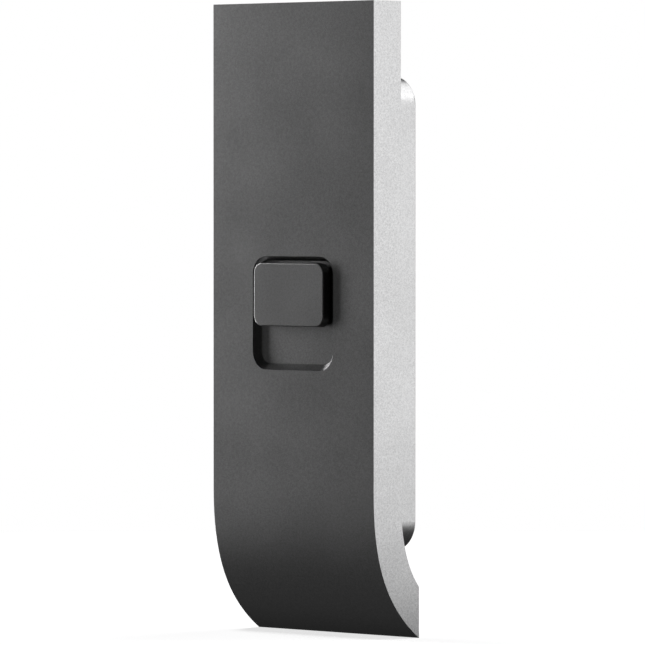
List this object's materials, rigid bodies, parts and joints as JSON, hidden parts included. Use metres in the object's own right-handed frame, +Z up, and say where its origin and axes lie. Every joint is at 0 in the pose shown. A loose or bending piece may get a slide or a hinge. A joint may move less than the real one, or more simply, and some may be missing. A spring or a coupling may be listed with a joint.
{
  "type": "video doorbell",
  "caption": "Slim wall-mounted video doorbell: tall metal face with a curved tail, rear housing, and a sliding press button that covers the camera.",
  "frame": {"origin": "on the wall plane, centred across the width, level with the middle of the button recess", "axes": "+Z up, -Y out from the wall towards the visitor, +X to the visitor's right"},
  "size_m": [0.0538, 0.0167, 0.15],
  "materials": {
    "anodised_shell": "satin bead-blasted, graphite front and silver sides",
    "anodised_housing": "satin bead-blasted silver",
    "anodised_button": "satin graphite",
    "gasket_rubber": "matt",
    "screw_steel": "machined",
    "bracket_steel": "stamped, zinc plated",
    "stamped_steel": "stamped",
    "black_plastic": "fine matt texture",
    "white_plastic": "satin",
    "magnet_metal": "nickel plated",
    "board_green": "solder mask with copper tracks",
    "flex_amber": "polyimide film",
    "window_glass": "polished",
    "clear_plastic": "clear moulded",
    "chip_black": "moulded package",
    "shield_tin": "tin plated",
    "thermal_grey": "soft pad",
    "brass_parts": "stamped brass",
    "capacitor_can": "drawn can",
    "cell_wrap": "shrink wrap",
    "foam_black": "closed-cell foam",
    "cone_paper": "pressed diaphragm",
    "mesh_black": "acoustic mesh"
  },
  "bodies": {
    "housing": {"front_shell": "anodised_shell", "rear_housing": "anodised_housing", "housing_gasket": "gasket_rubber", "housing_screws": "screw_steel", "wall_bracket": "bracket_steel", "security_screw": "screw_steel", "guide_rails": "black_plastic", "detent_magnets": "magnet_metal", "rail_screws": "screw_steel", "lens_window": "window_glass", "lens_seal": "gasket_rubber", "camera_barrel": "black_plastic", "camera_lens": "window_glass", "camera_holder": "black_plastic", "image_sensor": "chip_black", "camera_board": "board_green", "infrared_windows": "window_glass", "light_guides": "clear_plastic", "infrared_leds": "chip_black", "main_board": "board_green", "board_screws": "screw_steel", "processor_shield": "shield_tin", "radio_shield": "shield_tin", "thermal_pad": "thermal_grey", "wifi_antenna": "brass_parts", "power_inductor": "chip_black", "power_capacitors": "capacitor_can", "backup_cell": "cell_wrap", "cell_foam": "foam_black", "cell_tape": "foam_black", "board_connectors": "white_plastic", "hall_sensor": "chip_black", "speaker_frame": "black_plastic", "speaker_cone": "cone_paper", "speaker_magnet": "magnet_metal", "speaker_gasket": "foam_black", "speaker_mesh": "mesh_black", "microphone": "shield_tin", "terminal_block": "black_plastic", "terminal_plates": "brass_parts", "terminal_screws": "brass_parts", "setup_switch": "chip_black"},
    "slider": {"slider_carriage": "black_plastic", "slider_magnets": "magnet_metal", "slide_pads": "white_plastic", "switch_board": "board_green", "bell_switch": "black_plastic", "switch_flex": "flex_amber"},
    "bell_button": {"slider_cap": "anodised_button", "press_yoke": "stamped_steel", "yoke_screws": "screw_steel"},
    "switch_plunger": {"switch_plunger": "white_plastic"},
    "setup_button": {"setup_button": "black_plastic"}
  },
  "joints": [
    {"name": "slider_travel", "type": "slide", "parent": "housing", "child": "slider", "axis": [0, 0, -1], "range_m": [0, 0.0086], "deforming": ["switch_flex"]},
    {"name": "bell_press", "type": "slide", "parent": "slider", "child": "bell_button", "axis": [0, 1, 0], "range_m": [0, 0.0005], "stiffness_N_per_m": 4000, "springref_m": -0.0003},
    {"name": "plunger_press", "type": "slide", "parent": "slider", "child": "switch_plunger", "axis": [0, 1, 0], "range_m": [0, 0.0005]},
    {"name": "setup_press", "type": "slide", "parent": "housing", "child": "setup_button", "axis": [0, -1, 0], "range_m": [0, 0.0004], "stiffness_N_per_m": 3000, "springref_m": -0.0002}
  ],
  "couplings": [
    {"joint": "plunger_press", "follows": "bell_press", "ratio": 1}
  ]
}
